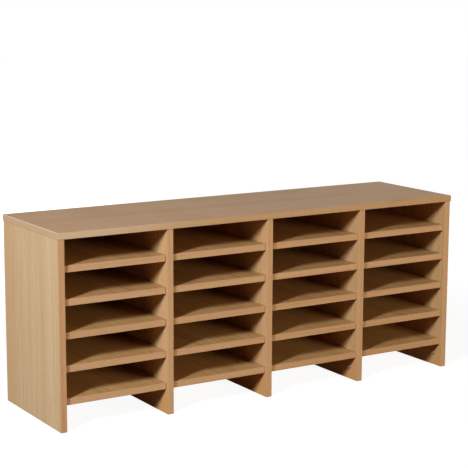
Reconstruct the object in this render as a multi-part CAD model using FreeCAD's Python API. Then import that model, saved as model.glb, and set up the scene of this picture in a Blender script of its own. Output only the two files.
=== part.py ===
"""Pigeonhole mail sorter in melamine-faced board.

Five uprights carry one top panel and divide the unit into bays. The lowest shelf of each bay
is fixed with dowels and cam fittings and ties the uprights together. The shelves above it lie
loose on steel pins and slide out forwards. Below the fixed shelves the uprights run on to the
surface as legs. Cam fittings in their feet take bolts from a cabinet or desk top below.

Frame: origin at the bottom centre of the overall box, +X along the width, +Y to the rear,
+Z up, millimetres.
"""
import FreeCAD, Part
import math
import os
from FreeCAD import Vector

# ---- Driving dimensions (mm) ----------------------------------------------------------------
bays = 4                    # columns of compartments
shelf_rows = 5              # shelves in each bay, the lowest one fixed
board = 18.0                # thickness of every main board
bay_width = 300.0           # clear width between two uprights
opening_height = 70.0       # clear height of a compartment and of the space below
unit_depth = 350.0          # front face to rear edge of an upright
edging = 2.0                # thickness of the banding on uprights and top
shelf_edging = 1.0          # thickness of the banding on the shelf fronts
arris = 1.2                 # rounding of the thick banding
shelf_arris = 0.4           # small chamfer along the shelf banding
shelf_setback = 8.0         # shelf fronts behind the upright fronts
shelf_end_gap = 1.0         # loose shelf to upright, each end
shelf_rear_gap = 1.0        # loose shelf to back panel

back_board = 6.0            # thickness of the back panel
rebate_width = 9.0          # how far the back panel reaches over a rebated board
back_gap = 0.5              # back panel to the wall of its rebate

fit = 0.05                  # radial clearance of every round fitting in its hole
peg_sides = 8               # flats that stand for the round of a pin, dowel or bolt
cam_sides = 12              # flats that stand for the round of a cam housing
fitting_line = 37.0         # front or rear edge of an upright to its line of fittings
dowel_line = 80.0           # front or rear edge of an upright to its dowels

pin_radius = 2.5            # shelf support pin
pin_in_board = 8.0
pin_reach = 9.0
pin_gap = 0.3               # top of a pin to the shelf lying on it

dowel_radius = 4.0
dowel_in_upright = 8.0      # fixed-shelf dowel, part that sits in the upright
dowel_in_shelf = 22.0
dowel_in_top = 11.0         # top-panel dowel, part that sits in the top
dowel_in_upright_end = 19.0
hole_spare = 0.5            # a dowel or pin hole is this much deeper than what sits in it

cam_radius = 6.0            # eccentric housing of a cam fitting
cam_height = 12.5
cam_line = 34.0             # board end to the centre of its cam housing
bolt_hole_radius = 3.6      # hole from the board end to the cam housing
bolt_thread_radius = 3.0
bolt_in_end_panel = 11.0
bolt_neck_radius = 2.0
bolt_head_radius = 3.2
bolt_head = 3.0
bolt_collar = 3.0           # length of the full-diameter stretch behind the head

block_size = 16.0           # corner block under the top, width and height
block_length = 30.0
block_chamfer = 6.0
block_rear_gap = 12.0       # corner block to back panel

# ---- Derived places --------------------------------------------------------------------------
pitch = opening_height + board
upright_height = (shelf_rows + 1) * opening_height + shelf_rows * board
body_width = (bays + 1) * board + bays * bay_width
overall_depth = unit_depth + edging
front_y = edging - overall_depth / 2            # front faces of the upright banding
rear_y = overall_depth / 2
back_front_y = rear_y - back_board              # front face of the back panel
shelf_front_y = front_y + shelf_setback
fixed_shelf_z = upright_height - shelf_rows * pitch
fitting_ys = (front_y + fitting_line, rear_y - fitting_line)
dowel_ys = (front_y + dowel_line, rear_y - dowel_line)
block_mid_y = back_front_y - block_rear_gap - block_length / 2
X_AXIS, Y_AXIS, Z_AXIS = Vector(1, 0, 0), Vector(0, 1, 0), Vector(0, 0, 1)


def upright_x(index):
    """Left face of an upright, counted from the left end panel."""
    return -body_width / 2 + index * (board + bay_width)


def bay_x(bay):
    """Left limit of a bay's clear width."""
    return upright_x(bay) + board


def shelf_z(row):
    """Underside of a shelf, row 1 being the highest."""
    return upright_height - row * pitch


def is_end(index):
    """True for the two end panels."""
    return index in (0, bays)


# ---- Basic shapes ----------------------------------------------------------------------------
def box(x0, x1, y0, y1, z0, z1):
    """Box between two limits on each axis."""
    return Part.makeBox(x1 - x0, y1 - y0, z1 - z0, Vector(x0, y0, z0))


def rod(radius, start, axis, length, sides=peg_sides):
    """Round bar from a start point along an axis, either way, with few flats.

    The corners lie on the radius and every bar along one axis has them at the same angles, so
    a fitting and its hole keep the same clearance all round.
    """
    up = X_AXIS if abs(axis.z) > 0.5 else Z_AXIS
    beside = axis.cross(up)
    turns = [2 * math.pi * step / sides for step in range(sides + 1)]
    corners = [start + (up * math.cos(turn) + beside * math.sin(turn)) * radius
               for turn in turns]
    return Part.Face(Part.makePolygon(corners)).extrude(axis * length)


def fused(shapes):
    """One solid from touching shapes."""
    return shapes[0].multiFuse(shapes[1:]).removeSplitter()


def rounded(shape, radius, wanted):
    """Shape with the straight edges picked by the test rounded off."""
    return shape.makeFillet(radius, [edge for edge in shape.Edges if wanted(edge)])


def write(name, shapes):
    """One STEP file per node, a group of solids where identical fittings share it."""
    solids = shapes if isinstance(shapes, list) else [shapes]
    shape = solids[0] if len(solids) == 1 else Part.makeCompound(solids)
    shape.exportStep(os.path.join("parts", name + ".step"))


# ---- Shelf pins ------------------------------------------------------------------------------
def pin_places():
    """Upright face, side it looks to and centre of every pin: (index, side, point)."""
    places = []
    for index in range(bays + 1):
        for side in (-1, 1):
            if (index == 0 and side < 0) or (index == bays and side > 0):
                continue
            face_x = upright_x(index) + (board if side > 0 else 0)
            for row in range(1, shelf_rows):
                z = shelf_z(row) - pin_gap - pin_radius
                places += [(index, side, Vector(face_x, y, z)) for y in fitting_ys]
    return places


def pin_hole(side, point):
    """Blind hole for a pin, cut from the upright's face."""
    return rod(pin_radius + fit, point, X_AXIS, -side * (pin_in_board + hole_spare))


def shelf_pin(side, point):
    """Steel support pin, partly in the upright and partly under the shelf."""
    start = point - X_AXIS * side * pin_in_board
    return rod(pin_radius, start, X_AXIS, side * (pin_in_board + pin_reach))


# ---- Cam fittings ----------------------------------------------------------------------------
def cam_housing(face_point, into, bolt_way):
    """Eccentric housing flush with the face, with a mouth through it for the bolt head."""
    body = rod(cam_radius, face_point, into, cam_height, cam_sides)
    middle = face_point + into * (board / 2)
    return body.cut(rod(bolt_hole_radius, middle - bolt_way * bolt_hole_radius, bolt_way,
                        cam_radius * 2))


def cam_pocket(face_point, into):
    """Blind round pocket that a cam housing drops into."""
    return rod(cam_radius + fit, face_point, into, cam_height + hole_spare, cam_sides)


def foot_hole(index, y):
    """Hole up into the foot of an upright for the bolt of a cabinet or desk top."""
    start = Vector(upright_x(index) + board / 2, y, 0)
    if is_end(index):
        return Part.makeCylinder(bolt_hole_radius, cam_line, start, Z_AXIS)
    return rod(bolt_hole_radius, start, Z_AXIS, cam_line)


def shelf_cam_places(bay):
    """Cam housings in the underside of a fixed shelf: (face point, way to the upright)."""
    left, right = bay_x(bay), bay_x(bay) + bay_width
    places = []
    for y in fitting_ys:
        places.append((Vector(left + cam_line, y, fixed_shelf_z), X_AXIS * -1))
        places.append((Vector(right - cam_line, y, fixed_shelf_z), X_AXIS))
    return places


def foot_cam_places(index):
    """Cam housings in the foot of an upright, on the face that looks to the middle."""
    looks_right = index <= bays // 2
    face_x = upright_x(index) + (board if looks_right else 0)
    into = X_AXIS * (-1 if looks_right else 1)
    return [(Vector(face_x, y, cam_line), into) for y in fitting_ys]


def bolt_half(face_x, y, side):
    """Free half of a cam bolt: collar, neck and head, from the upright to inside the cam."""
    start = Vector(face_x, y, fixed_shelf_z + board / 2)
    head_end = cam_line + bolt_head_radius - fit
    collar_end = head_end - bolt_head - bolt_collar
    return [rod(bolt_thread_radius, start, X_AXIS, side * collar_end),
            rod(bolt_neck_radius, start, X_AXIS, side * head_end),
            rod(bolt_head_radius, start + X_AXIS * side * (head_end - bolt_head), X_AXIS,
                side * bolt_head)]


def cam_bolt(index, y):
    """Bolt screwed into an end panel, or through a divider with a head each side."""
    left, right = upright_x(index), upright_x(index) + board
    z = fixed_shelf_z + board / 2
    if index == 0:
        pieces = bolt_half(right, y, 1)
        pieces.append(rod(bolt_thread_radius, Vector(right, y, z), X_AXIS, -bolt_in_end_panel))
    elif index == bays:
        pieces = bolt_half(left, y, -1)
        pieces.append(rod(bolt_thread_radius, Vector(left, y, z), X_AXIS, bolt_in_end_panel))
    else:
        pieces = bolt_half(right, y, 1) + bolt_half(left, y, -1)
        pieces.append(rod(bolt_thread_radius, Vector(left, y, z), X_AXIS, board))
    return fused(pieces)


def bolt_hole(index, y):
    """Hole for a cam bolt in an upright, blind in an end panel."""
    depth = board if not is_end(index) else bolt_in_end_panel + hole_spare
    from_left = index != 0
    face_x = upright_x(index) + (0 if from_left else board)
    start = Vector(face_x, y, fixed_shelf_z + board / 2)
    return rod(bolt_thread_radius + fit, start, X_AXIS, depth if from_left else -depth)


# ---- Dowels ----------------------------------------------------------------------------------
def shelf_dowel_places():
    """Dowels between the fixed shelves and the uprights: (upright index, side, face point)."""
    z = fixed_shelf_z + board / 2
    places = []
    for bay in range(bays):
        for y in dowel_ys:
            places.append((bay, 1, Vector(bay_x(bay), y, z)))
            places.append((bay + 1, -1, Vector(bay_x(bay) + bay_width, y, z)))
    return places


def top_dowel_places(index):
    """Points on the top end of an upright where its dowels cross to the top panel."""
    x = upright_x(index) + board / 2
    return [Vector(x, y, upright_height) for y in dowel_ys]


def dowels():
    """All beech dowels."""
    pegs = []
    for _, side, point in shelf_dowel_places():
        start = point - X_AXIS * side * dowel_in_upright
        pegs.append(rod(dowel_radius, start, X_AXIS, side * (dowel_in_upright + dowel_in_shelf)))
    for index in range(bays + 1):
        for point in top_dowel_places(index):
            start = point - Z_AXIS * dowel_in_upright_end
            pegs.append(rod(dowel_radius, start, Z_AXIS, dowel_in_upright_end + dowel_in_top))
    return pegs


# ---- Corner blocks ---------------------------------------------------------------------------
def block_places():
    """Corner blocks in the rear top corners of each bay: (upright face, side it looks to)."""
    places = []
    for bay in range(bays):
        places += [(bay_x(bay), 1), (bay_x(bay) + bay_width, -1)]
    return places


def corner_block(face_x, side):
    """Moulded block with its inner corner cut back."""
    far_x, low_z = face_x + side * block_size, upright_height - block_size
    start_y = block_mid_y - block_length / 2
    outline = [Vector(face_x, start_y, upright_height), Vector(far_x, start_y, upright_height),
               Vector(far_x, start_y, low_z + block_chamfer),
               Vector(far_x - side * block_chamfer, start_y, low_z),
               Vector(face_x, start_y, low_z), Vector(face_x, start_y, upright_height)]
    return Part.Face(Part.makePolygon(outline)).extrude(Y_AXIS * block_length)


# ---- Boards ----------------------------------------------------------------------------------
def back_panel():
    """Thin panel let into the rebates of the end panels and the top."""
    half = body_width / 2 - board + rebate_width - back_gap
    return box(-half, half, back_front_y, rear_y, fixed_shelf_z,
               upright_height + rebate_width - back_gap)


def upright(index):
    """End panel or divider, with its pin, bolt, dowel and cam holes."""
    left, right = upright_x(index), upright_x(index) + board
    rear = rear_y if is_end(index) else back_front_y
    cuts = [pin_hole(side, point) for i, side, point in pin_places() if i == index]
    cuts += [bolt_hole(index, y) for y in fitting_ys]
    for i, side, point in shelf_dowel_places():
        if i == index:
            cuts.append(rod(dowel_radius + fit, point, X_AXIS,
                            -side * (dowel_in_upright + hole_spare)))
    cuts += [rod(dowel_radius + fit, point, Z_AXIS, -(dowel_in_upright_end + hole_spare))
             for point in top_dowel_places(index)]
    for point, into in foot_cam_places(index):
        cuts += [cam_pocket(point, into), foot_hole(index, point.y)]
    if is_end(index):
        inner = (left + board - rebate_width, right) if index == 0 else (left, left + rebate_width)
        cuts.append(box(inner[0], inner[1], back_front_y, rear_y, 0, upright_height))
    return box(left, right, front_y + edging, rear, 0, upright_height).cut(cuts)


def upright_banding(index):
    """Front banding of an upright, with its two long front edges eased."""
    left, right = upright_x(index), upright_x(index) + board
    strip = box(left, right, front_y, front_y + edging, 0, upright_height)
    return rounded(strip, arris, lambda e: is_front_edge(e, front_y, Z_AXIS))


def is_front_edge(edge, y, axis):
    """True for an edge that lies at depth y and runs along an axis."""
    start, end = (vertex.Point for vertex in edge.Vertexes)
    runs = (end - start).cross(axis).Length < 1e-6
    return runs and abs(start.y - y) < 1e-6 and abs(end.y - y) < 1e-6


def top_panel():
    """Top board lying over the uprights, rebated at the rear for the back panel."""
    half = body_width / 2
    sheet = box(-half, half, front_y, rear_y, upright_height, upright_height + board)
    cuts = [rod(dowel_radius + fit, point, Z_AXIS, dowel_in_top + hole_spare)
            for index in range(bays + 1) for point in top_dowel_places(index)]
    groove_x = half - board + rebate_width
    cuts.append(box(-groove_x, groove_x, back_front_y, rear_y, upright_height,
                    upright_height + rebate_width))
    return sheet.cut(cuts)


def top_banding():
    """Three strips of thick banding on the front and the two ends of the top."""
    half, low, high = body_width / 2, upright_height, upright_height + board
    outer = half + edging
    block = box(-outer, outer, front_y - edging, rear_y, low, high)

    def shows(edge):
        start, end = (vertex.Point for vertex in edge.Vertexes)
        middle = (start + end) * 0.5
        upright_corner = abs(start.z - end.z) > 1 and middle.y < front_y
        level = abs(start.z - end.z) < 1e-6 and middle.y < rear_y - 1
        return upright_corner or level

    block = rounded(block, arris, shows)
    block = block.cut(box(-half, half, front_y, rear_y, low, high))
    front = block.common(box(-outer, outer, front_y - edging, front_y, low, high))
    sides = block.common(box(-outer, outer, front_y, rear_y, low, high))
    return front.Solids + sides.Solids


def fixed_shelf(bay):
    """Lowest shelf of a bay, drilled for its dowels, cam bolts and cam housings."""
    left, right = bay_x(bay), bay_x(bay) + bay_width
    low, high = fixed_shelf_z, fixed_shelf_z + board
    sheet = box(left, right, shelf_front_y + shelf_edging, back_front_y, low, high)
    cuts = []
    for _, side, point in shelf_dowel_places():
        if left <= point.x <= right:
            cuts.append(rod(dowel_radius + fit, point, X_AXIS,
                            side * (dowel_in_shelf + hole_spare)))
    for point, way in shelf_cam_places(bay):
        cuts.append(cam_pocket(point, Z_AXIS))
        cuts.append(rod(bolt_hole_radius, point + Z_AXIS * (board / 2), way, cam_line))
    return sheet.cut(cuts)


def loose_shelf(bay, row):
    """Shelf board lying on its four pins."""
    left = bay_x(bay) + shelf_end_gap
    right = bay_x(bay) + bay_width - shelf_end_gap
    return box(left, right, shelf_front_y + shelf_edging, back_front_y - shelf_rear_gap,
               shelf_z(row), shelf_z(row) + board)


def shelf_banding(left, right, low):
    """Thin banding on the front of a shelf."""
    strip = box(left, right, shelf_front_y, shelf_front_y + shelf_edging, low, low + board)
    fronts = [edge for edge in strip.Edges if is_front_edge(edge, shelf_front_y, X_AXIS)]
    return strip.makeChamfer(shelf_arris, fronts)


# ---- Nodes -----------------------------------------------------------------------------------
def upright_name(index):
    """Node name of an upright."""
    if index == 0:
        return "left_end_panel"
    return "right_end_panel" if index == bays else "divider_%d" % index


def write_boards():
    """Uprights, top, back and fixed shelves with their banding."""
    for index in range(bays + 1):
        write(upright_name(index), upright(index))
    write("upright_edge_banding", [upright_banding(index) for index in range(bays + 1)])
    write("top_panel", top_panel())
    write("top_edge_banding", top_banding())
    write("back_panel", back_panel())
    for bay in range(bays):
        write("fixed_shelf_%d" % (bay + 1), fixed_shelf(bay))
    write("fixed_shelf_edge_banding", [shelf_banding(bay_x(bay), bay_x(bay) + bay_width,
                                                     fixed_shelf_z) for bay in range(bays)])


def write_loose_shelves():
    """Every loose shelf and its banding, named by column and row from the top left."""
    for bay in range(bays):
        left = bay_x(bay) + shelf_end_gap
        right = bay_x(bay) + bay_width - shelf_end_gap
        for row in range(1, shelf_rows):
            label = "col%d_row%d" % (bay + 1, row)
            write("shelf_" + label, loose_shelf(bay, row))
            write("shelf_edge_" + label, shelf_banding(left, right, shelf_z(row)))


def write_fittings():
    """Pins, cams, bolts, dowels and corner blocks."""
    write("shelf_pins", [shelf_pin(side, point) for _, side, point in pin_places()])
    write("dowels", dowels())
    write("cam_bolts", [cam_bolt(index, y) for index in range(bays + 1) for y in fitting_ys])
    write("shelf_cams", [cam_housing(point, Z_AXIS, way)
                         for bay in range(bays) for point, way in shelf_cam_places(bay)])
    write("foot_cams", [cam_housing(point, into, Z_AXIS * -1)
                        for index in range(bays + 1) for point, into in foot_cam_places(index)])
    write("corner_blocks", [corner_block(face_x, side) for face_x, side in block_places()])


os.makedirs("parts", exist_ok=True)
write_boards()
write_loose_shelves()
write_fittings()
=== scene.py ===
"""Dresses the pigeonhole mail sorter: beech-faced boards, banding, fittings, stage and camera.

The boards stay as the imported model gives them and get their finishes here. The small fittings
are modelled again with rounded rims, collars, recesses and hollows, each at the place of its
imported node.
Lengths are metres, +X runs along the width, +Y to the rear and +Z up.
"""
import logging
import math
from dataclasses import dataclass, field
from enum import Enum
from typing import Callable, Sequence

import bmesh
import bpy
from bpy.types import Material, MeshPolygon, Node, NodeSocket, NodeTree, Object
from mathutils import Matrix, Vector

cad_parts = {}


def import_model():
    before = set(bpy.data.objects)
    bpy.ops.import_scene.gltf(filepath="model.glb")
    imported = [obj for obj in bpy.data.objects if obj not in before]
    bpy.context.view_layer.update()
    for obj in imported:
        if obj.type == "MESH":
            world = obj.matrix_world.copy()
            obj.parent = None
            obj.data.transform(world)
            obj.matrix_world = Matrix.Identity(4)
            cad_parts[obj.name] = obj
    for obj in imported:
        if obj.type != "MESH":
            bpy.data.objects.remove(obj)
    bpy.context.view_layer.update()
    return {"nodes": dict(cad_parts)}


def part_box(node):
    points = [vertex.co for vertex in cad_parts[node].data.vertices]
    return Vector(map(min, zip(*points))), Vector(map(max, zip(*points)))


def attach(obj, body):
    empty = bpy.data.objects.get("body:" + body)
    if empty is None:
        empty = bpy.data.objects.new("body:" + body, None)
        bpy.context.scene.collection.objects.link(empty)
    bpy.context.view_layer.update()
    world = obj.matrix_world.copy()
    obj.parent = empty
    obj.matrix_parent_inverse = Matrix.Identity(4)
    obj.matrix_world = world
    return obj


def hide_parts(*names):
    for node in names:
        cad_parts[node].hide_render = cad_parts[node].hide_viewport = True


LOG = logging.getLogger("sorter")
CARCASS = "carcass"
MM = 0.001
X_AXIS, Y_AXIS, Z_AXIS = (1.0, 0.0, 0.0), (0.0, 1.0, 0.0), (0.0, 0.0, 1.0)

Colour = tuple[float, float, float, float]
Spot = tuple[float, float, float]


def srgb(*channels: int) -> Colour:
    """Linear colour of a display colour.

    Args:
        channels: Red, green and blue, 0 to 255.

    Returns:
        Linear red, green, blue and an alpha of one.
    """
    shares = [channel / 255 for channel in channels]
    linear = [share / 12.92 if share <= 0.04045 else ((share + 0.055) / 1.055) ** 2.4
              for share in shares]
    return (*linear, 1.0)


class GrainRun(Enum):
    """Way that the printed grain runs, with the turn that lays it along X."""

    ACROSS = (0.0, 0.0, 0.0)
    DEEP = (0.0, 0.0, -math.pi / 2)
    UPRIGHT = (0.0, math.pi / 2, 0.0)


class Skin(Enum):
    """Axis that the decor faces of a board look along. Its other faces show the core."""

    SIDES = X_AXIS
    LEVEL = Z_AXIS
    FRONT = Y_AXIS


# ---- Shader groups ----
@dataclass
class NodeSheet:
    """The node tree of a material or of a group, filled by short calls."""

    tree: NodeTree

    def node(self, kind: str, inputs: dict[int | str, object] | None = None,
             **settings: object) -> Node:
        """Adds a node.

        Args:
            kind: Node type, such as ShaderNodeMix.
            inputs: Sockets or constants by the name or the number of the input.
            settings: Properties of the node.

        Returns:
            The new node.
        """
        made = self.tree.nodes.new(kind)
        for name, value in settings.items():
            setattr(made, name, value)
        self.feed(made, inputs or {})
        return made

    def feed(self, node: Node, inputs: dict[int | str, object]) -> None:
        """Links sockets to a node's inputs, or writes constants into them.

        Args:
            node: Node that takes them.
            inputs: Sockets or constants by the name or the number of the input.
        """
        for key, source in inputs.items():
            if isinstance(source, NodeSocket):
                self.tree.links.new(source, node.inputs[key])
            else:
                node.inputs[key].default_value = source

    def math(self, operation: str, first: object, second: object = 0.0,
             third: object = 0.0) -> NodeSocket:
        """Arithmetic on up to three sockets or numbers, the third added by MULTIPLY_ADD."""
        inputs = {0: first, 1: second, 2: third}
        return self.node("ShaderNodeMath", inputs, operation=operation).outputs[0]

    def vector(self, operation: str, first: object, second: object) -> NodeSocket:
        """Arithmetic on two sockets or vectors, whose dot product is a number."""
        made = self.node("ShaderNodeVectorMath", {0: first, 1: second}, operation=operation)
        return made.outputs["Value" if operation == "DOT_PRODUCT" else "Vector"]

    def noise(self, vector: object, scale: float, detail: float = 1.0) -> NodeSocket:
        """Soft noise from nought to one, with scale in cells to the metre and detail in octaves."""
        inputs = {"Vector": vector, "Scale": scale, "Detail": detail}
        return self.node("ShaderNodeTexNoise", inputs).outputs[0]

    def ramp(self, value: object, low: float, high: float) -> NodeSocket:
        """Smooth step of a value from nought at low to one at high."""
        return self.node("ShaderNodeMapRange", {0: value, 1: low, 2: high},
                         interpolation_type="SMOOTHSTEP").outputs[0]

    def mix(self, share: object, first: object, second: object) -> NodeSocket:
        """Mixes two colours, with the share of the second."""
        inputs = {0: share, 6: first, 7: second}
        return self.node("ShaderNodeMix", inputs, data_type="RGBA").outputs[2]


def new_group(name: str, inputs: dict[str, str], outputs: dict[str, str],
              fill: Callable[[NodeSheet, Node, Node], None]) -> NodeTree:
    """Builds a shader node group.

    Args:
        name: Name of the group.
        inputs: Socket types by name.
        outputs: Socket types by name.
        fill: Function that adds the nodes between the group's input and output nodes.

    Returns:
        The group.
    """
    tree = bpy.data.node_groups.new(name, "ShaderNodeTree")
    for label, kind in inputs.items():
        tree.interface.new_socket(label, in_out="INPUT", socket_type=kind)
    for label, kind in outputs.items():
        tree.interface.new_socket(label, in_out="OUTPUT", socket_type=kind)
    sheet = NodeSheet(tree)
    fill(sheet, sheet.node("NodeGroupInput"), sheet.node("NodeGroupOutput"))
    return tree


NUMBER, TINT, PLACE = "NodeSocketFloat", "NodeSocketColor", "NodeSocketVector"


@dataclass(frozen=True)
class Streak:
    """Noise drawn out along X, the values between which it shows and the tone it shows in."""

    tone: str
    stretch: float
    cells: float
    octaves: float
    low: float
    high: float


STREAKS = {"Bands": Streak("Dark", 0.03, 16.0, 2.0, 0.35, 0.65),
           "Lines": Streak("Line", 0.012, 115.0, 3.0, 0.46, 0.74),
           "Hairs": Streak("Line", 0.02, 520.0, 1.0, 0.4, 0.75),
           "Flecks": Streak("Line", 0.1, 640.0, 0.0, 0.63, 0.72)}


def fill_beech(sheet: NodeSheet, given: Node, result: Node) -> None:
    """Printed beech: soft bands, wandering lines and short dark flecks along X.

    Args:
        sheet: Sheet of the group.
        given: Group input node.
        result: Group output node.
    """
    place = given.outputs["Vector"]
    drift_stretch, drift_cells, drift_reach = (0.6, 2.0, 2.0), 3.0, 0.02
    drift = sheet.noise(sheet.vector("MULTIPLY", place, drift_stretch), drift_cells)
    wander = sheet.math("MULTIPLY", sheet.math("SUBTRACT", drift, 0.5), drift_reach)
    shift = sheet.node("ShaderNodeCombineXYZ", {1: wander, 2: wander})
    place = sheet.vector("ADD", place, shift.outputs[0])
    colour, noises, masks = given.outputs["Light"], {}, {}
    for name, streak in STREAKS.items():
        drawn_out = sheet.vector("MULTIPLY", place, (streak.stretch, 1.0, 1.0))
        noises[name] = sheet.noise(drawn_out, streak.cells, streak.octaves)
        masks[name] = sheet.ramp(noises[name], streak.low, streak.high)
        share = sheet.math("MULTIPLY", masks[name], given.outputs[name])
        colour = sheet.mix(share, colour, given.outputs[streak.tone])
    pores = sheet.math("ADD", sheet.math("MULTIPLY", noises["Hairs"], 0.5), masks["Flecks"])
    sheet.feed(result, {"Colour": colour, "Pores": sheet.math("SUBTRACT", 1.0, pores)})


def fill_core(sheet: NodeSheet, given: Node, result: Node) -> None:
    """Chipboard core: pressed chips of many browns with small voids.

    Args:
        sheet: Sheet of the group.
        given: Group input node.
        result: Group output node.
    """
    chips_to_metre, voids_to_metre = 420.0, 160.0
    void_colour, void_share = srgb(64, 44, 28), 0.7
    place = given.outputs["Vector"]
    cells = sheet.node("ShaderNodeTexVoronoi", {"Vector": place, "Scale": chips_to_metre})
    pick = sheet.vector("DOT_PRODUCT", cells.outputs["Color"], (0.4, 0.35, 0.25))
    void = sheet.ramp(sheet.noise(place, voids_to_metre, 3.0), 0.60, 0.68)
    colour = sheet.mix(pick, given.outputs["Pale"], given.outputs["Brown"])
    colour = sheet.mix(sheet.math("MULTIPLY", void, void_share), colour, void_colour)
    sheet.feed(result, {"Colour": colour, "Relief": sheet.math("SUBTRACT", pick, void)})


def fill_handling(sheet: NodeSheet, given: Node, result: Node) -> None:
    """Handling marks: dull smears and a few thin rubs on a smooth face.

    Args:
        sheet: Sheet of the group.
        given: Group input node.
        result: Group output node.
    """
    place = given.outputs["Vector"]
    smears_to_metre, rubs_to_metre, smear_share = 7.0, 260.0, 0.6
    smear = sheet.ramp(sheet.noise(place, smears_to_metre, 3.0), 0.45, 0.75)
    turned = sheet.node("ShaderNodeMapping", {"Vector": place, "Rotation": (0.35, 0.2, 0.55),
                                              "Scale": (0.06, 1.0, 1.0)})
    rubs = sheet.ramp(sheet.noise(turned.outputs[0], rubs_to_metre, 1.0), 0.70, 0.74)
    marks = sheet.math("MAXIMUM", sheet.math("MULTIPLY", smear, smear_share), rubs)
    sheet.feed(result, {"Marks": sheet.math("MULTIPLY", marks, given.outputs["Amount"])})


def fill_brushed(sheet: NodeSheet, given: Node, result: Node) -> None:
    """Plated or cast metal: fine mottling, tool lines and dull spots.

    Args:
        sheet: Sheet of the group.
        given: Group input node.
        result: Group output node.
    """
    place = given.outputs["Vector"]
    mottles_to_metre, tool_lines_to_metre, spots_to_metre = 900.0, 3200.0, 300.0
    spot_rough = 0.18
    mottle = sheet.noise(place, mottles_to_metre, 3.0)
    drawn_out = sheet.vector("MULTIPLY", place, (1.0, 1.0, 0.08))
    lines = sheet.noise(drawn_out, tool_lines_to_metre, 1.0)
    dull = sheet.ramp(sheet.noise(place, spots_to_metre, 2.0), 0.5, 0.7)
    both = sheet.math("ADD", sheet.math("MULTIPLY", mottle, 0.5),
                      sheet.math("MULTIPLY", lines, 0.5))
    colour = sheet.mix(dull, given.outputs["Bright"], given.outputs["Dull"])
    sheet.feed(result, {"Colour": colour, "Rough": sheet.math("MULTIPLY", dull, spot_rough),
                        "Relief": both})


@dataclass
class GroupShelf:
    """The shared effects, each built once."""

    beech: NodeTree = field(init=False)
    core: NodeTree = field(init=False)
    handling: NodeTree = field(init=False)
    metal: NodeTree = field(init=False)

    def __post_init__(self) -> None:
        """Builds the groups."""
        self.beech = new_group(
            "printed_beech",
            {"Vector": PLACE, "Light": TINT, "Dark": TINT, "Line": TINT, "Bands": NUMBER,
             "Lines": NUMBER, "Hairs": NUMBER, "Flecks": NUMBER},
            {"Colour": TINT, "Pores": NUMBER}, fill_beech)
        self.core = new_group("chipboard_core", {"Vector": PLACE, "Pale": TINT, "Brown": TINT},
                              {"Colour": TINT, "Relief": NUMBER}, fill_core)
        self.handling = new_group("handling_marks", {"Vector": PLACE, "Amount": NUMBER},
                                  {"Marks": NUMBER}, fill_handling)
        self.metal = new_group("metal_surface", {"Vector": PLACE, "Bright": TINT, "Dull": TINT},
                               {"Colour": TINT, "Rough": NUMBER, "Relief": NUMBER},
                               fill_brushed)


def place_group(sheet: NodeSheet, group: NodeTree, **values: object) -> Node:
    """Adds a group node and sets its inputs by name."""
    return sheet.node("ShaderNodeGroup", values, node_tree=group)


# ---- Finishes ----
def blank_material(name: str) -> tuple[Material, NodeSheet, Node]:
    """Starts a material.

    Args:
        name: Name of the material.

    Returns:
        The material, its sheet and its Principled BSDF node.
    """
    material = bpy.data.materials.new(name)
    material.use_nodes = True
    sheet = NodeSheet(material.node_tree)
    return material, sheet, material.node_tree.nodes["Principled BSDF"]


def relief(sheet: NodeSheet, shader: Node, height: object, depth: float) -> None:
    """Gives a shader a bump, whose depth is what one unit of height stands for in metres."""
    bump = sheet.node("ShaderNodeBump", {"Strength": 1.0, "Distance": depth, "Height": height})
    sheet.feed(shader, {"Normal": bump.outputs[0]})


@dataclass(frozen=True)
class Fade:
    """Change of tone along a line, or round with the way a face looks, used on the boards as
    painted light and shade.

    There is none of it at start and the whole share at end.
    """

    way: Spot
    start: float
    end: float
    tone: Colour
    share: float = 1.0
    reads: str = "Object"

    def apply(self, sheet: NodeSheet, coordinates: Node,
              colour: object) -> NodeSocket:
        """Mixes the tone in.

        Args:
            sheet: Sheet of the material.
            coordinates: Texture Coordinate node.
            colour: Colour before the change.

        Returns:
            Colour after it.
        """
        reach = sheet.vector("DOT_PRODUCT", coordinates.outputs[self.reads], self.way)
        step = sheet.math("MULTIPLY", sheet.ramp(reach, self.start, self.end), self.share)
        return sheet.mix(step, colour, self.tone)


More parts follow.
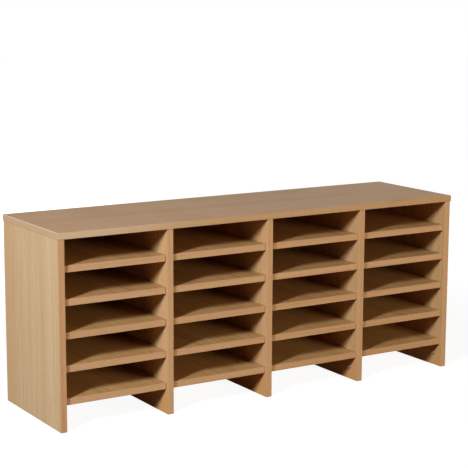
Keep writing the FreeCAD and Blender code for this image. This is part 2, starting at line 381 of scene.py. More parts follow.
@dataclass(frozen=True)
class BeechFinish:
    """Beech decor on a board or a band, with chipboard on the faces that show the core."""

    name: str
    run: GrainRun
    skin: Skin | None = None
    light: Colour = srgb(199, 164, 120)
    dark: Colour = srgb(191, 154, 108)
    line: Colour = srgb(154, 112, 72)
    bands: float = 0.8
    lines: float = 0.25
    hairs: float = 0.12
    flecks: float = 0.3
    rough: float = 0.42
    smeared: float = 0.10
    shine: float = 0.005
    depth: float = 0.06 * MM
    chips: tuple[Colour, Colour] = (srgb(196, 160, 112), srgb(140, 98, 58))
    core_depth: float = 5.0
    core_rough: float = 0.85
    # Colour of a painted highlight on the left upper arris, if any.
    painted_highlight: Colour | None = None
    fades: tuple[Fade, ...] = ()

    def make(self, groups: GroupShelf) -> Material:
        """Builds the material.

        Args:
            groups: Shared effects.

        Returns:
            The material.
        """
        material, sheet, shader = blank_material(self.name)
        coordinates = sheet.node("ShaderNodeTexCoord")
        place = coordinates.outputs["Object"]
        turned = sheet.node("ShaderNodeMapping", {"Vector": place, "Rotation": self.run.value})
        grain = place_group(sheet, groups.beech, Vector=turned.outputs[0], Light=self.light,
                            Dark=self.dark, Line=self.line, Bands=self.bands, Lines=self.lines,
                            Hairs=self.hairs, Flecks=self.flecks)
        marks = place_group(sheet, groups.handling, Vector=place, Amount=1.0).outputs["Marks"]
        colour, height = grain.outputs["Colour"], grain.outputs["Pores"]
        rough = sheet.math("MULTIPLY_ADD", marks, self.smeared, self.rough)
        if self.skin is not None:
            colour, height, rough = self.show_core(sheet, groups, coordinates,
                                                   (colour, height, rough))
        for fade in self.fades:
            colour = fade.apply(sheet, coordinates, colour)
        # Painted highlight: a pale tone on the left upper arris, the one that faces the key lamp.
        if self.painted_highlight is not None:
            colour = sheet.mix(self.find_arris(sheet, coordinates), colour, self.painted_highlight)
        sheet.feed(shader, {"Base Color": colour, "Roughness": rough,
                            "Specular IOR Level": self.shine})
        relief(sheet, shader, height, self.depth)
        return material

    @staticmethod
    def find_arris(sheet: NodeSheet, coordinates: Node) -> NodeSocket:
        """Masks the upper arris of the left end, where a pale highlight is painted on the band.

        Args:
            sheet: Sheet of the material.
            coordinates: Texture Coordinate node.

        Returns:
            One on the rounding between the left end face and the top face, nought elsewhere.
        """
        leaves_end, faces_left, reaches_top = (0.12, 0.35), (0.1, 0.4), (0.93, 0.99)
        normal = coordinates.outputs["Normal"]
        tilt = sheet.vector("DOT_PRODUCT", normal, Z_AXIS)
        endwise = sheet.vector("DOT_PRODUCT", normal, (-1.0, 0.0, 0.0))
        above = sheet.math("MULTIPLY", sheet.ramp(tilt, *leaves_end),
                           sheet.ramp(endwise, *faces_left))
        below = sheet.math("SUBTRACT", 1.0, sheet.ramp(tilt, *reaches_top))
        return sheet.math("MULTIPLY", above, below)

    def show_core(self, sheet: NodeSheet, groups: GroupShelf, coordinates: Node,
                  decor: tuple[object, object, object]) -> tuple[object, object, object]:
        """Mixes in the core on the faces that don't look along the skin's axis.

        Args:
            sheet: Sheet of the material.
            groups: Shared effects.
            coordinates: Texture Coordinate node.
            decor: Colour, height and roughness of the decor.

        Returns:
            Colour, height and roughness of the whole board.
        """
        core = place_group(sheet, groups.core, Vector=coordinates.outputs["Object"],
                           Pale=self.chips[0], Brown=self.chips[1])
        facing = sheet.vector("DOT_PRODUCT", coordinates.outputs["Normal"], self.skin.value)
        raw = sheet.math("LESS_THAN", sheet.math("ABSOLUTE", facing), 0.5)
        colour = sheet.mix(raw, decor[0], core.outputs["Colour"])
        deep = sheet.math("MULTIPLY", core.outputs["Relief"], self.core_depth)
        height = sheet.math("ADD", sheet.math("MULTIPLY", raw, deep), decor[1])
        rough = sheet.math("MAXIMUM", decor[2], sheet.math("MULTIPLY", raw, self.core_rough))
        return colour, height, rough


@dataclass(frozen=True)
class MetalFinish:
    """Zinc-plated steel or die-cast zinc."""

    name: str
    bright: Colour
    dull: Colour
    rough: float
    depth: float

    def make(self, groups: GroupShelf) -> Material:
        """Builds the material.

        Args:
            groups: Shared effects.

        Returns:
            The material.
        """
        material, sheet, shader = blank_material(self.name)
        place = sheet.node("ShaderNodeTexCoord").outputs["Object"]
        surface = place_group(sheet, groups.metal, Vector=place, Bright=self.bright,
                              Dull=self.dull)
        rough = sheet.math("ADD", surface.outputs["Rough"], self.rough)
        sheet.feed(shader, {"Base Color": surface.outputs["Colour"], "Roughness": rough,
                            "Metallic": 1.0})
        relief(sheet, shader, surface.outputs["Relief"], self.depth)
        return material


@dataclass(frozen=True)
class MouldedFinish:
    """Injection-moulded plastic with a fine matt texture."""

    name: str
    colour: Colour
    shade: Colour
    rough: float = 0.48
    smeared: float = 0.15
    handled: float = 0.8
    flow_cells: float = 90.0
    grain_cells: float = 2600.0
    depth: float = 0.04 * MM

    def make(self, groups: GroupShelf) -> Material:
        """Builds the material.

        Args:
            groups: Shared effects.

        Returns:
            The material.
        """
        material, sheet, shader = blank_material(self.name)
        place = sheet.node("ShaderNodeTexCoord").outputs["Object"]
        marks = place_group(sheet, groups.handling, Vector=place, Amount=self.handled)
        flow = sheet.ramp(sheet.noise(place, self.flow_cells, 2.0), 0.4, 0.65)
        rough = sheet.math("MULTIPLY_ADD", marks.outputs["Marks"], self.smeared, self.rough)
        sheet.feed(shader, {"Base Color": sheet.mix(flow, self.colour, self.shade),
                            "Roughness": rough})
        relief(sheet, shader, sheet.noise(place, self.grain_cells, 2.0), self.depth)
        return material


# ---- Places ----
@dataclass(frozen=True)
class Box:
    """Axis-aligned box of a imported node."""

    low: Vector
    high: Vector

    @staticmethod
    def of(node: str) -> "Box":
        """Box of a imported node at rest."""
        low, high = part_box(node)
        return Box(Vector(low), Vector(high))

    @property
    def middle(self) -> Vector:
        """Middle of the box."""
        return (self.low + self.high) / 2

    @property
    def size(self) -> Vector:
        """Lengths on X, Y and Z."""
        return self.high - self.low


@dataclass
class SorterPlan:
    """Where the boards are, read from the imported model."""

    bays: int = 4
    rows: int = 5
    uprights: list[Box] = field(init=False)
    back: Box = field(init=False)
    top: Box = field(init=False)

    def __post_init__(self) -> None:
        """Reads the boxes of the uprights, the back and the top."""
        self.uprights = [Box.of(name) for name in self.upright_names()]
        self.back = Box.of("back_panel")
        self.top = Box.of("top_panel")

    def upright_names(self) -> list[str]:
        """Nodes of the uprights from left to right."""
        dividers = [f"divider_{index}" for index in range(1, self.bays)]
        return ["left_end_panel", *dividers, "right_end_panel"]

    def loose_labels(self) -> list[str]:
        """Endings of the node names of the loose shelves."""
        return [f"col{bay}_row{row}" for bay in range(1, self.bays + 1)
                for row in range(1, self.rows)]

    def bay_faces(self) -> list[tuple[float, float]]:
        """Finds the faces of the uprights towards each bay.

        Returns:
            Place on X and way into the bay, two for every bay.
        """
        faces = []
        for left, right in zip(self.uprights, self.uprights[1:]):
            faces += [(left.high.x, 1.0), (right.low.x, -1.0)]
        return faces


def stand(point: Vector, outward: Vector, along: Vector) -> Matrix:
    """Place of a fitting modelled with its face up.

    Args:
        point: Middle of the fitting's face.
        outward: Way that the face looks.
        along: Way that the fitting's own X axis is turned to.

    Returns:
        Matrix from the fitting's axes to the model's.
    """
    across = outward.cross(along)
    turn = Matrix((along, across, outward)).transposed().to_4x4()
    return Matrix.Translation(point) @ turn


AHEAD, UP, RIGHT = Vector((0, -1, 0)), Vector(Z_AXIS), Vector(X_AXIS)


# ---- Modelling steps ----
class Bench:
    """Modelling operators on one object at a time."""

    @staticmethod
    def clear() -> None:
        """Leaves edit mode and deselects everything."""
        if bpy.context.object is not None and bpy.context.object.mode != "OBJECT":
            bpy.ops.object.mode_set(mode="OBJECT")
        bpy.ops.object.select_all(action="DESELECT")

    @staticmethod
    def take(piece: Object) -> None:
        """Makes a piece the one selected and active object.

        Args:
            piece: Object to work on.
        """
        Bench.clear()
        piece.select_set(True)
        bpy.context.view_layer.objects.active = piece

    @staticmethod
    def turned(low: float, high: float, radius: float, upper: float | None = None,
               sides: int = 32) -> Object:
        """Cylinder or blunt cone along Z.

        Args:
            low: Height of the lower end.
            high: Height of the upper end.
            radius: Radius of the lower end.
            upper: Radius of the upper end of a cone.
            sides: Number of sides.

        Returns:
            The object.
        """
        Bench.clear()
        bpy.ops.mesh.primitive_cone_add(
            vertices=sides, radius1=radius, radius2=radius if upper is None else upper,
            depth=high - low, location=(0, 0, (low + high) / 2))
        bpy.ops.object.transform_apply()
        return bpy.context.object

    @staticmethod
    def block(size: Sequence[float], middle: Sequence[float]) -> Object:
        """Box of a size about a middle.

        Args:
            size: Lengths on X, Y and Z.
            middle: Middle of the box.

        Returns:
            The object.
        """
        Bench.clear()
        bpy.ops.mesh.primitive_cube_add(size=1.0, location=middle)
        bpy.context.object.scale = size
        bpy.ops.object.transform_apply()
        return bpy.context.object

    @staticmethod
    def pick_faces(piece: Object, wanted: Callable[[MeshPolygon], bool]) -> None:
        """Enters edit mode with the wanted faces selected.

        Args:
            piece: Object to edit.
            wanted: Test of a face by its place or normal.
        """
        Bench.take(piece)
        bpy.ops.object.mode_set(mode="EDIT")
        bpy.ops.mesh.select_mode(type="FACE")
        bpy.ops.mesh.select_all(action="DESELECT")
        bpy.ops.object.mode_set(mode="OBJECT")
        for face in piece.data.polygons:
            face.select = wanted(face)
        bpy.ops.object.mode_set(mode="EDIT")

    @staticmethod
    def cut(piece: Object, tool: Object) -> None:
        """Cuts a tool out of a piece and deletes the tool.

        Args:
            piece: Object that loses material.
            tool: Closed object in the shape of the cut.
        """
        Bench.take(piece)
        modifier = piece.modifiers.new("cut", "BOOLEAN")
        modifier.operation, modifier.solver, modifier.object = "DIFFERENCE", "EXACT", tool
        bpy.ops.object.modifier_apply(modifier=modifier.name)
        bpy.data.objects.remove(tool, do_unlink=True)

    @staticmethod
    def ease(piece: Object, width: float, segments: int = 2) -> None:
        """Rounds the sharp edges of a piece.

        Args:
            piece: Object to round.
            width: Width of the rounding.
            segments: Steps across it.
        """
        Bench.take(piece)
        modifier = piece.modifiers.new("ease", "BEVEL")
        modifier.width, modifier.segments = width, segments
        modifier.limit_method, modifier.angle_limit = "ANGLE", math.radians(35)
        modifier.use_clamp_overlap = True
        bpy.ops.object.modifier_apply(modifier=modifier.name)

    @staticmethod
    def lay_out(prototype: Object, places: Sequence[Matrix], name: str) -> Object:
        """Copies a prototype to its places as one object and deletes the prototype.

        Args:
            prototype: Fitting modelled about the origin.
            places: Where its copies go.
            name: Name of the finished piece.

        Returns:
            The finished piece, its own place at the origin.
        """
        gathered = bmesh.new()
        for place in places:
            own = prototype.data.copy()
            own.transform(place)
            gathered.from_mesh(own)
            bpy.data.meshes.remove(own)
        bmesh.ops.recalc_face_normals(gathered, faces=gathered.faces)
        mesh = bpy.data.meshes.new(name)
        gathered.to_mesh(mesh)
        gathered.free()
        bpy.data.objects.remove(prototype, do_unlink=True)
        piece = bpy.data.objects.new(name, mesh)
        bpy.context.collection.objects.link(piece)
        Bench.take(piece)
        bpy.ops.object.shade_smooth_by_angle(angle=math.radians(32))
        return piece


def cut_cross(piece: Object, length: float, width: float, depth: float) -> None:
    """Sinks a screwdriver cross into a face at height nought.

    Args:
        piece: Object with its face up.
        length: Length of each arm pair.
        width: Width of an arm.
        depth: Depth of the recess.
    """
    for size in ((length, width, depth * 2), (width, length, depth * 2)):
        Bench.cut(piece, Bench.block(size, (0, 0, 0)))


# ---- Fittings ----
@dataclass
class Fitting:
    """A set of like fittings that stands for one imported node, or adds to the carcass."""

    plan: SorterPlan
    finish: Material
    name: str = ""
    node: str = ""
    slot: str = ""

    def model(self) -> Object:
        """Models one fitting about the origin with its visible face up."""
        raise NotImplementedError

    def places(self) -> list[Matrix]:
        """Places of all the fittings."""
        raise NotImplementedError

    def build(self) -> None:
        piece = Bench.lay_out(self.model(), self.places(), self.name)
        piece.data.materials.append(self.finish)
        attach(piece, CARCASS)
        if self.node:
            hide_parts(self.node)
        LOG.info("%s: %d faces", self.name, len(piece.data.polygons))


@dataclass
class CamHousings(Fitting):
    """Cast eccentric housings with a rim, a cross recess and a mark towards the bolt."""

    slot: str = "zinc_fitting"
    seat: float = 6.0 * MM
    radius: float = 5.82 * MM
    height: float = 12.3 * MM
    rim: float = 0.9 * MM
    dish: float = 0.35 * MM
    cross_length: float = 7.6 * MM
    cross_width: float = 1.7 * MM
    cross_depth: float = 2.0 * MM
    play: float = 0.02 * MM
    mark_length: float = 1.6 * MM
    mark_width: float = 0.7 * MM
    mark_off: float = 4.1 * MM
    easing: float = 0.12 * MM
    sides: int = 48

    def model(self) -> Object:
        """Models one housing.

        Returns:
            The housing, its mark towards +X.
        """
        piece = Bench.turned(-self.height, -self.play, self.radius, sides=self.sides)
        Bench.pick_faces(piece, lambda face: face.normal.z > 0.9)
        bpy.ops.mesh.inset(thickness=self.rim, depth=0)
        bpy.ops.mesh.inset(thickness=self.dish, depth=-self.dish)
        Bench.clear()
        cut_cross(piece, self.cross_length, self.cross_width, self.cross_depth)
        mark = Bench.block((self.mark_length, self.mark_width, self.dish * 3),
                           (self.mark_off, 0, 0))
        Bench.cut(piece, mark)
        Bench.ease(piece, self.easing)
        return piece


@dataclass
class FootCams(CamHousings):
    """Housings low on the uprights, on the faces that look to the middle."""

    name: str = "foot_cam_housings"
    node: str = "foot_cams"

    def places(self) -> list[Matrix]:
        """Sets two housings to an upright.

        Returns:
            Their places.
        """
        lines = Box.of(self.node)
        height = lines.low.z + self.seat
        spots = []
        for index, upright in enumerate(self.plan.uprights):
            looks_right = index <= self.plan.bays // 2
            face = upright.high.x if looks_right else upright.low.x
            outward = RIGHT if looks_right else -RIGHT
            for y in (lines.low.y + self.seat, lines.high.y - self.seat):
                spots.append(stand(Vector((face, y, height)), outward, -UP))
        return spots


@dataclass
class ShelfCams(CamHousings):
    """Housings in the undersides of the fixed shelves."""

    name: str = "shelf_cam_housings"
    node: str = "shelf_cams"

    def places(self) -> list[Matrix]:
        """Sets four housings to a fixed shelf.

        Returns:
            Their places.
        """
        lines = Box.of(self.node)
        first = Box.of("fixed_shelf_1")
        inset = lines.low.x + self.seat - first.low.x
        spots = []
        for bay in range(1, self.plan.bays + 1):
            shelf = Box.of(f"fixed_shelf_{bay}")
            for y in (lines.low.y + self.seat, lines.high.y - self.seat):
                for x, way in ((shelf.low.x + inset, -RIGHT), (shelf.high.x - inset, RIGHT)):
                    spots.append(stand(Vector((x, y, shelf.low.z)), -UP, way))
        return spots


@dataclass
class ShelfPins(Fitting):
    """Steel pins with a stop collar and a domed end."""

    name: str = "shelf_support_pins"
    node: str = "shelf_pins"
    slot: str = "plated_steel"
    radius: float = 2.5 * MM
    collar_radius: float = 3.6 * MM
    collar: float = 0.8 * MM
    reach: float = 9.0 * MM
    buried: float = 8.0 * MM
    lift: float = 0.3 * MM
    dome: float = 0.7 * MM
    collar_easing: float = 0.2 * MM
    sides: int = 20
    collar_sides: int = 24

    def model(self) -> Object:
        """Models one pin along Z.

        Returns:
            The pin, with the upright's face at height nought.
        """
        piece = Bench.turned(-self.buried, self.reach, self.radius, sides=self.sides)
        Bench.ease(piece, self.dome, 3)
        collar = Bench.turned(0, self.collar, self.collar_radius, sides=self.collar_sides)
        Bench.ease(collar, self.collar_easing)
        Bench.take(piece)
        collar.select_set(True)
        bpy.ops.object.join()
        return piece

    def places(self) -> list[Matrix]:
        """Sets four pins to a loose shelf.

        Returns:
            Their places.
        """
        lines = Box.of(self.node)
        ys = (lines.low.y + self.radius, lines.high.y - self.radius)
        levels = [Box.of(f"shelf_col1_row{row}").low.z - self.lift - self.radius
                  for row in range(1, self.plan.rows)]
        return [stand(Vector((face, y, z)), RIGHT * way, UP)
                for face, way in self.plan.bay_faces() for z in levels for y in ys]


@dataclass
class CornerBlocks(Fitting):
    """Moulded blocks with a cut-back inner corner and two hollows in the sloping face."""

    name: str = "moulded_corner_blocks"
    node: str = "corner_blocks"
    slot: str = "block_plastic"
    chamfer: float = 6.0 * MM
    hollow: Spot = (0.5, 0.28, 0.22)
    hollow_off: tuple[float, float] = (0.26, 0.30)
    easing: float = 0.5 * MM

    def model(self) -> Object:
        """Models one block. Its hollows are given as shares of its width and length.

        Returns:
            The block, its corner at the origin and its body towards +X and +Z.
        """
        box = Box.of(self.node)
        width, length = box.size.z, box.size.y
        piece = Bench.block((width, length, width), (width / 2, 0, width / 2))
        cutter = Bench.block((self.chamfer * 2, length * 2, self.chamfer * 4), (0, 0, 0))
        turn = Matrix.Rotation(math.radians(45), 4, "Y")
        corner = Vector((width - self.chamfer / 2, 0, width - self.chamfer / 2))
        push = Vector((1, 0, 1)).normalized() * self.chamfer
        cutter.data.transform(Matrix.Translation(corner + push) @ turn)
        Bench.cut(piece, cutter)
        wide, long, high = self.hollow
        for side in (-1, 1):
            middle = (width, side * length * self.hollow_off[0], width * self.hollow_off[1])
            Bench.cut(piece, Bench.block((width * wide, length * long, width * high), middle))
        Bench.ease(piece, self.easing)
        return piece

    def places(self) -> list[Matrix]:
        """Sets two blocks to a bay, in its rear top corners.

        Returns:
            Their places.
        """
        box = Box.of(self.node)
        return [stand(Vector((face, box.middle.y, box.high.z)), -UP, RIGHT * way)
                for face, way in self.plan.bay_faces()]


@dataclass
class Screws(Fitting):
    """Cross-recessed screws."""

    slot: str = "plated_steel"
    head_radius: float = 3.5 * MM
    shank_radius: float = 1.7 * MM
    shank: float = 6.0 * MM
    recess: float = 3.6 * MM
    recess_width: float = 0.8 * MM
    recess_depth: float = 1.2 * MM
    least_flat: float = 8e-6

    def add_shank(self, head: Object, rim: float = 0.0) -> Object:
        """Sinks the recess into a head and draws the shank out of its underside.

        Args:
            head: Head with its top face up.
            rim: Width of the underside that stays round the shank.

        Returns:
            The screw.
        """
        cut_cross(head, self.recess, self.recess_width, self.recess_depth)
        Bench.pick_faces(head,
                         lambda face: face.normal.z < -0.9 and face.area > self.least_flat)
        if rim:
            bpy.ops.mesh.inset(thickness=rim)
        bpy.ops.mesh.extrude_region_move(TRANSFORM_OT_translate={"value": (0, 0, -self.shank)})
        Bench.clear()
        return head


@dataclass
class BlockScrews(Screws):
    """Pan-head screws through the corner blocks."""

    name: str = "block_pan_screws"
    head: float = 2.2 * MM
    across: float = 5.0 * MM
    offset: float = 7.0 * MM
    dome: float = 0.9 * MM

    def model(self) -> Object:
        """Models one screw.

        Returns:
            The screw, the top of its head at height nought.
        """
        head = Bench.turned(-self.head, 0, self.head_radius)
        Bench.ease(head, self.dome, 4)
        return self.add_shank(head, self.head_radius - self.shank_radius - self.dome)

    def places(self) -> list[Matrix]:
        """Sets one screw up into the top and one into the upright at every block.

        Returns:
            Their places.
        """
        box = Box.of("corner_blocks")
        spots = []
        for face, way in self.plan.bay_faces():
            out = RIGHT * way
            under = Vector((face + way * self.across, box.middle.y - self.offset,
                            box.low.z - self.head))
            beside = Vector((face + way * (box.size.z + self.head),
                             box.middle.y + self.offset, box.high.z - self.across))
            spots.append(stand(under, -UP, out))
            spots.append(stand(beside, out, UP))
        return spots


@dataclass
class BackScrews(Screws):
    """Countersunk screws, flush with the rear face of the back panel."""

    name: str = "back_countersunk_screws"
    head: float = 2.0 * MM
    sunk: float = 0.05 * MM
    edge: float = 20.0 * MM
    end: float = 4.0 * MM
    pitch: float = 88.0 * MM
    over: float = 4.5 * MM
    into_shelf: float = 9.0 * MM

    def model(self) -> Object:
        """Models one screw.

        Returns:
            The screw, its flat head just below height nought.
        """
        return self.add_shank(Bench.turned(-self.head - self.sunk, -self.sunk,
                                           self.shank_radius, self.head_radius))

    def places(self) -> list[Matrix]:
        """Sets screws into the uprights, the fixed shelves and the top.

        Returns:
            Their places.
        """
        back = self.plan.back
        low, high = back.low.z, back.high.z
        rows = (low + self.pitch + self.edge, back.middle.z, high - self.pitch)
        dividers = [one.middle.x for one in self.plan.uprights[1:-1]]
        ends = [back.low.x + self.end, back.high.x - self.end]
        spots = [(x, z) for x in ends + dividers for z in rows]
        for left, right in zip(self.plan.uprights, self.plan.uprights[1:]):
            middle = (left.high.x + right.low.x) / 2
            spots.append((middle, low + self.into_shelf))
            spots.append((middle, self.plan.top.low.z + self.over))
        return [stand(Vector((x, back.high.y, z)), -AHEAD, RIGHT) for x, z in spots]


@dataclass
class SunkBack(Fitting):
    """Back panel with a countersink for the head of every screw."""

    name: str = "sunk_back_panel"
    node: str = "back_panel"
    slot: str = "back_board"
    screws: BackScrews | None = None
    reach: float = 0.15 * MM

    def model(self) -> Object:
        """Models the panel where it belongs.

        Returns:
            The panel.
        """
        back, screws = self.plan.back, self.screws
        sheet = Bench.block(back.size, back.middle)
        sink = Bench.turned(-screws.head, self.reach, screws.shank_radius,
                            screws.head_radius + self.reach)
        Bench.cut(sheet, Bench.lay_out(sink, screws.places(), "sinks"))
        return sheet

    def places(self) -> list[Matrix]:
        """One panel, where it was modelled."""
        return [Matrix.Identity(4)]


# ---- Boards ----
@dataclass
class Boards:
    """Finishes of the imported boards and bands."""

    plan: SorterPlan
    groups: GroupShelf
    nodes: dict[str, Object]

    def dress(self, names: Sequence[str], material: Material) -> None:
        """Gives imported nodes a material.

        Args:
            names: Names of the nodes.
            material: Finish for every slot.
        """
        for name in names:
            for slot in self.nodes[name].material_slots:
                slot.material = material
            LOG.info("%s: %s", name, material.name)

    def build(self) -> None:
        """Dresses the boards, the bands and the dowels."""
        # Painted light: the left end is a paler, yellower copy of the dividers' beech, for its
        # brightly lit outer face. It turns darker and warmer towards the rear.
        end = BeechFinish(
            "beech_end_painted_light", GrainRun.UPRIGHT, Skin.SIDES, light=srgb(203, 180, 145),
            dark=srgb(193, 163, 121), line=srgb(166, 124, 82), bands=0.45, lines=0.35,
            fades=(Fade(Y_AXIS, 0.05, 0.12, srgb(198, 162, 121), 0.5),))
        # Painted light: the dividers turn warmer and more saturated below 0.10 m, fully below 0.05
        # m, for the light on their feet.
        divider = BeechFinish("beech_divider", GrainRun.UPRIGHT, Skin.SIDES,
                              fades=(Fade(Z_AXIS, 0.10, 0.05, srgb(198, 153, 101)),))
        shelf = BeechFinish(
            "beech_shelf", GrainRun.DEEP, Skin.LEVEL, light=srgb(192, 155, 107),
            dark=srgb(183, 144, 96), line=srgb(150, 104, 60), lines=0.5, bands=0.7, hairs=0.2)
        # Painted light: the top is darker towards the left end and lighter towards the right, to
        # even out the key lamp's falloff across it.
        top = BeechFinish(
            "beech_top", GrainRun.ACROSS, Skin.LEVEL, light=srgb(209, 166, 121),
            dark=srgb(200, 155, 109), line=srgb(158, 113, 72), shine=0.05,
            fades=(Fade(X_AXIS, -0.05, -0.45, srgb(188, 144, 102), 0.5),
                   Fade(X_AXIS, 0.10, 0.62, srgb(243, 193, 142), 0.5)))
        # Painted light on the top band: paler and greyer towards the left end, a lighter, yellower
        # tone on its left end face, which looks to the key lamp, and a pale painted highlight on
        # the left upper arris.
        top_band = BeechFinish(
            "band_top", GrainRun.ACROSS, light=srgb(163, 137, 104), dark=srgb(156, 128, 94),
            line=srgb(140, 103, 69), bands=0.5, lines=0.3, rough=0.3, shine=0.2,
            painted_highlight=srgb(226, 206, 180),
            fades=(Fade(X_AXIS, -0.10, -0.64, srgb(170, 152, 130)),
                   Fade(X_AXIS, -0.5, -0.8, srgb(182, 151, 110), reads="Normal")))
        band = {"line": srgb(150, 106, 70), "bands": 0.5, "lines": 0.3, "rough": 0.45}
        upright_band = BeechFinish("band_upright", GrainRun.UPRIGHT, light=srgb(177, 149, 119),
                                   dark=srgb(169, 137, 106), **band)
        level_band = BeechFinish("band_level", GrainRun.ACROSS, light=srgb(177, 149, 120),
                                 dark=srgb(169, 138, 108), **band)
        dowel = BeechFinish("turned_beech", GrainRun.ACROSS, rough=0.6)

        uprights, labels = self.plan.upright_names(), self.plan.loose_labels()
        shelves = [f"shelf_{label}" for label in labels]
        shelves += [f"fixed_shelf_{bay}" for bay in range(1, self.plan.bays + 1)]
        edges = [f"shelf_edge_{label}" for label in labels] + ["fixed_shelf_edge_banding"]
        for names, finish in ((uprights[:1], end), (uprights[1:], divider), (shelves, shelf),
                              (["top_panel"], top), (["upright_edge_banding"], upright_band),
                              (edges, level_band), (["top_edge_banding"], top_band),
                              (["dowels"], dowel)):
            self.dress(names, finish.make(self.groups))


# ---- Stage ----
@dataclass(frozen=True)
class SoftLamp:
    """Rectangular soft lamp."""

    name: str
    place: Spot
    width: float
    height: float
    power: float
    tint: Spot = (1.0, 1.0, 1.0)
    gloss: bool = True


KEY = SoftLamp("key", (-3.4, -1.8, 2.15), 0.5, 0.9, 172.0)
FILL = SoftLamp("fill", (1.1, -3.3, 0.68), 1.4, 0.6, 82.0, (1.0, 0.78, 0.49))
REAR = SoftLamp("rear", (0.5, 3.4, 0.42), 1.6, 0.4, 40.0, (1.0, 0.92, 0.82), gloss=False)


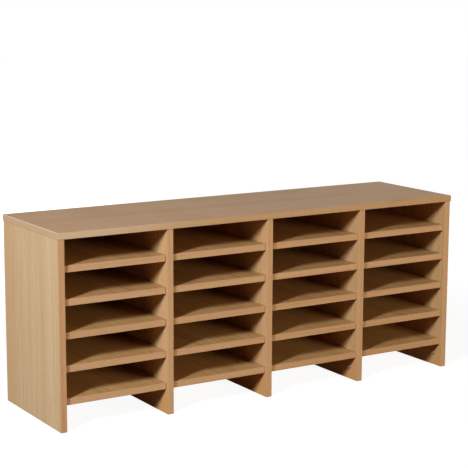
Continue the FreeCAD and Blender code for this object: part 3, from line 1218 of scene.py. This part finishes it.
@dataclass
class Stage:
    """Floor, lamps, world and camera."""

    picture: float = 468.0
    sensor: float = 36.0
    focal_pixels: float = 1433.3
    yaw: float = math.radians(31.941)
    pitch: float = math.radians(10.006)
    roll: float = math.radians(0.241)
    eye: Spot = (-2.1569, -3.4426, 1.1583)
    ambient: float = 0.012
    aim: Spot = (0.0, 0.0, 0.26)
    floor_size: float = 30.0
    floor_white: float = 0.93
    floor_seen: Colour = srgb(110, 110, 110)
    floor_bounce: Colour = srgb(140, 106, 80)
    floor_rough: float = 0.9
    whitens_from: float = 0.9
    whitens_to: float = 2.2
    farthest: float = 100.0

    def build(self) -> None:
        """Sets up everything around the object."""
        self.place_camera()
        for lamp in (KEY, FILL, REAR):
            self.place_lamp(lamp)
        self.make_world()
        self.make_floor()
        bpy.context.scene.view_settings.view_transform = "Standard"

    def place_camera(self) -> None:
        """Adds the camera at the eye, level but for its pitch and a slight roll."""
        forward = Vector((math.sin(self.yaw) * math.cos(self.pitch),
                          math.cos(self.yaw) * math.cos(self.pitch), -math.sin(self.pitch)))
        level = Vector((math.cos(self.yaw), -math.sin(self.yaw), 0.0))
        down = forward.cross(level)
        cos_roll, sin_roll = math.cos(self.roll), math.sin(self.roll)
        side = level * cos_roll - down * sin_roll
        below = level * sin_roll + down * cos_roll
        turn = Matrix((side, -below, -forward)).transposed().to_4x4()
        data = bpy.data.cameras.new("camera")
        data.sensor_width = self.sensor
        data.lens = self.sensor * self.focal_pixels / self.picture
        data.clip_end = self.farthest
        camera = bpy.data.objects.new("camera", data)
        camera.matrix_world = Matrix.Translation(Vector(self.eye)) @ turn
        bpy.context.collection.objects.link(camera)
        bpy.context.scene.camera = camera

    def place_lamp(self, lamp: SoftLamp) -> None:
        """Adds a soft lamp that looks at the object.

        Args:
            lamp: Its place, size and power.
        """
        data = bpy.data.lights.new(lamp.name, "AREA")
        data.shape, data.size, data.size_y = "RECTANGLE", lamp.width, lamp.height
        data.energy, data.color = lamp.power, lamp.tint
        stand_in = bpy.data.objects.new(lamp.name, data)
        stand_in.location = lamp.place
        way = Vector(self.aim) - Vector(lamp.place)
        stand_in.rotation_euler = way.to_track_quat("-Z", "Y").to_euler()
        stand_in.visible_glossy = lamp.gloss
        bpy.context.collection.objects.link(stand_in)

    @staticmethod
    def seen(sheet: NodeSheet) -> NodeSocket:
        """Tells the rays that show a surface from those that light one.

        Args:
            sheet: Sheet of the material or the world.

        Returns:
            One for rays from the eye, from gloss and from glass, nought for the rest.
        """
        path = sheet.node("ShaderNodeLightPath")
        seen = sheet.math("MAXIMUM", path.outputs["Is Camera Ray"],
                          path.outputs["Is Glossy Ray"])
        return sheet.math("MAXIMUM", seen, path.outputs["Is Transmission Ray"])

    def make_world(self) -> None:
        """White to the eye and to reflections, dimmer as a light."""
        world = bpy.data.worlds.new("studio")
        bpy.context.scene.world = world
        world.use_nodes = True
        sheet = NodeSheet(world.node_tree)
        ground = world.node_tree.nodes["Background"]
        lift = sheet.math("MULTIPLY_ADD", self.seen(sheet), 1.0 - self.ambient, self.ambient)
        sheet.feed(ground, {"Color": (1.0, 1.0, 1.0, 1.0), "Strength": lift})

    def make_floor(self) -> None:
        """Pale floor that keeps the object's shadow and fades into the white ground."""
        Bench.clear()
        bpy.ops.mesh.primitive_plane_add(size=self.floor_size)
        floor = bpy.context.object
        floor.name = "studio_floor"
        material, sheet, shader = blank_material("pale_floor")
        tone = sheet.mix(self.seen(sheet), self.floor_bounce, self.floor_seen)
        sheet.feed(shader, {"Base Color": tone, "Roughness": self.floor_rough,
                            "Specular IOR Level": 0.0})
        place = sheet.node("ShaderNodeTexCoord").outputs["Object"]
        far = sheet.node("ShaderNodeVectorMath", {0: place}, operation="LENGTH")
        fade = sheet.ramp(far.outputs["Value"], self.whitens_from, self.whitens_to)
        white = sheet.math("MULTIPLY_ADD", fade, 1.0 - self.floor_white, self.floor_white)
        glow = sheet.node("ShaderNodeEmission",
                          {"Strength": sheet.math("MULTIPLY", white, self.seen(sheet))})
        both = sheet.node("ShaderNodeAddShader", {0: shader.outputs[0], 1: glow.outputs[0]})
        sheet.feed(material.node_tree.nodes["Material Output"], {"Surface": both.outputs[0]})
        floor.data.materials.append(material)


def main() -> None:
    """Loads the frame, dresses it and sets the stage."""
    logging.basicConfig(level=logging.INFO, format="%(message)s")
    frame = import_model()
    groups = GroupShelf()
    plan = SorterPlan()
    boards = Boards(plan, groups, frame["nodes"])
    boards.build()
    zinc = MetalFinish("cast_zinc", srgb(132, 128, 121), srgb(92, 88, 83), 0.42,
                       0.03 * MM).make(groups)
    steel = MetalFinish("plated_steel", srgb(208, 206, 200), srgb(168, 166, 160), 0.26,
                        0.02 * MM).make(groups)
    plastic = MouldedFinish("brown_plastic", srgb(150, 100, 48), srgb(134, 86, 38)).make(groups)
    brown = BeechFinish("back_brown", GrainRun.UPRIGHT, Skin.FRONT, light=srgb(112, 80, 58),
                        dark=srgb(98, 68, 48), line=srgb(70, 46, 32), rough=0.5).make(groups)
    boards.dress(["cam_bolts"], steel)
    back_screws = BackScrews(plan, steel)
    for fitting in (FootCams(plan, zinc), ShelfCams(plan, zinc), ShelfPins(plan, steel),
                    CornerBlocks(plan, plastic), BlockScrews(plan, steel), back_screws,
                    SunkBack(plan, brown, screws=back_screws)):
        fitting.build()
    Stage().build()


if __name__ == "__main__":
    main()
